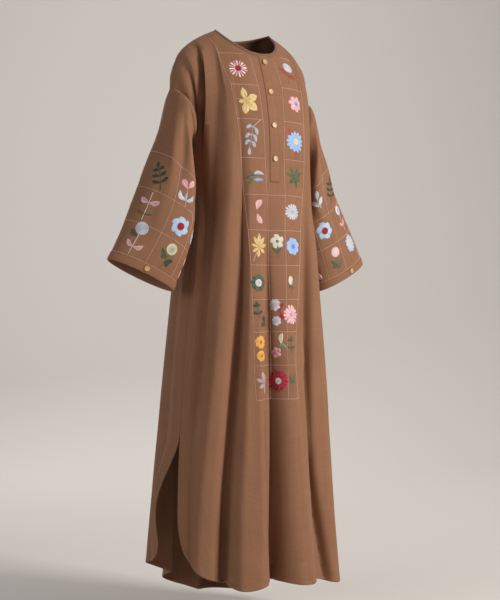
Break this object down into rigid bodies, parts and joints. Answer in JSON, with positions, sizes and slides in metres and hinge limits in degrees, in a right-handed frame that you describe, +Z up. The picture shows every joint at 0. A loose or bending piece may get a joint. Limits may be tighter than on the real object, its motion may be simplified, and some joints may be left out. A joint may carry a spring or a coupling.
{
  "type": "worn mukhawar dress",
  "caption": "Floor-length hollow worn dress, embroidered in a grid down the front and on its wide sleeves, with a buttoned placket, turned cuffs and side slits.",
  "frame": {"origin": "where the wearer's neck and shoulders hold the dress: midway between the two neck-side points of the shoulder line", "axes": "+Z up, -Y out of the front, +X towards the wearer's left"},
  "size_m": [0.8282, 0.514, 1.5227],
  "materials": {
    "cloth": "plain-weave brown cotton, matte with a faint sheen",
    "binding": "the same cotton cut as a narrow binding, darker in its fold",
    "button": "smooth satin wood"
  },
  "bodies": {
    "root": {"front": "cloth", "back": "cloth", "sleeve_right_upper": "cloth", "sleeve_right_middle": "cloth", "sleeve_right_lower": "cloth", "sleeve_left_upper": "cloth", "sleeve_left_middle": "cloth", "sleeve_left_lower": "cloth", "cuff_band_right": "cloth", "cuff_band_left": "cloth", "placket": "cloth", "neck_binding": "binding", "button_1": "button", "button_2": "button", "button_3": "button", "button_4": "button", "cuff_button_right": "button", "cuff_button_left": "button"}
  },
  "joints": []
}
